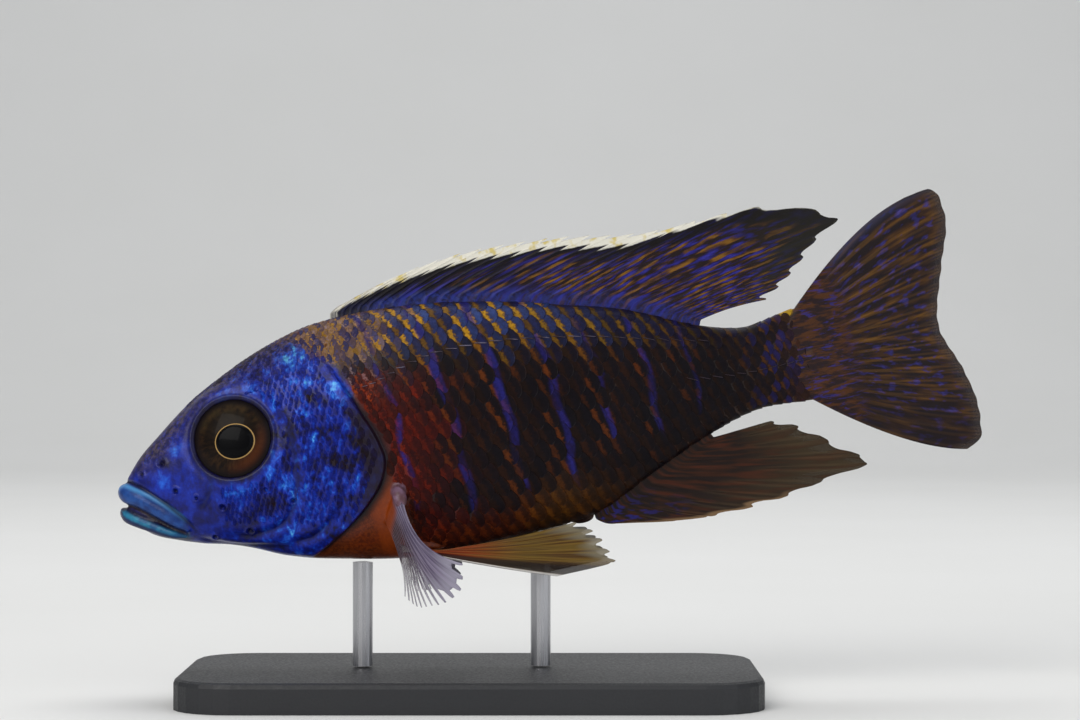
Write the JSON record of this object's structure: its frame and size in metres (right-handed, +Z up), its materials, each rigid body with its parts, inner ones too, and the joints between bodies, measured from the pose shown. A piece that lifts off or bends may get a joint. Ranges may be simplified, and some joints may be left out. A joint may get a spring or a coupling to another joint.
{
  "type": "peacock cichlid model",
  "caption": "Life-size still model of an adult male peacock cichlid, head slightly down, fins spread, held over a small flat base by short steel rods.",
  "frame": {"origin": "middle of the whole model's outline in plan, on the surface that the base stands on", "axes": "+Z up; the head points to -X and the tail to +X; the fish's left side faces -Y"},
  "size_m": [0.131, 0.046, 0.0769],
  "materials": {
    "head_skin": "wet-looking blue skin, mottled dark and bright",
    "body_skin": "satin scales, rust red to near black with violet-blue bars",
    "fin": "thin rayed membrane, dark with blue and orange dashes",
    "pale_fin": "thin rayed membrane, pale",
    "eye": "glossy domed eye, dark iris with a fine gold ring",
    "base": "fine matt black powder coat",
    "rod": "brushed along its length"
  },
  "bodies": {
    "root": {"head": "head_skin", "torso": "body_skin", "tail_stalk": "body_skin", "eye_left": "eye", "eye_right": "eye", "dorsal_fin": "fin", "anal_fin": "fin", "caudal_fin": "fin", "pelvic_fin_left": "pale_fin", "pelvic_fin_right": "pale_fin", "pectoral_fin_left": "pale_fin", "pectoral_fin_right": "pale_fin", "stand_base": "base", "stand_rod_front": "rod", "stand_rod_rear": "rod"}
  },
  "joints": []
}
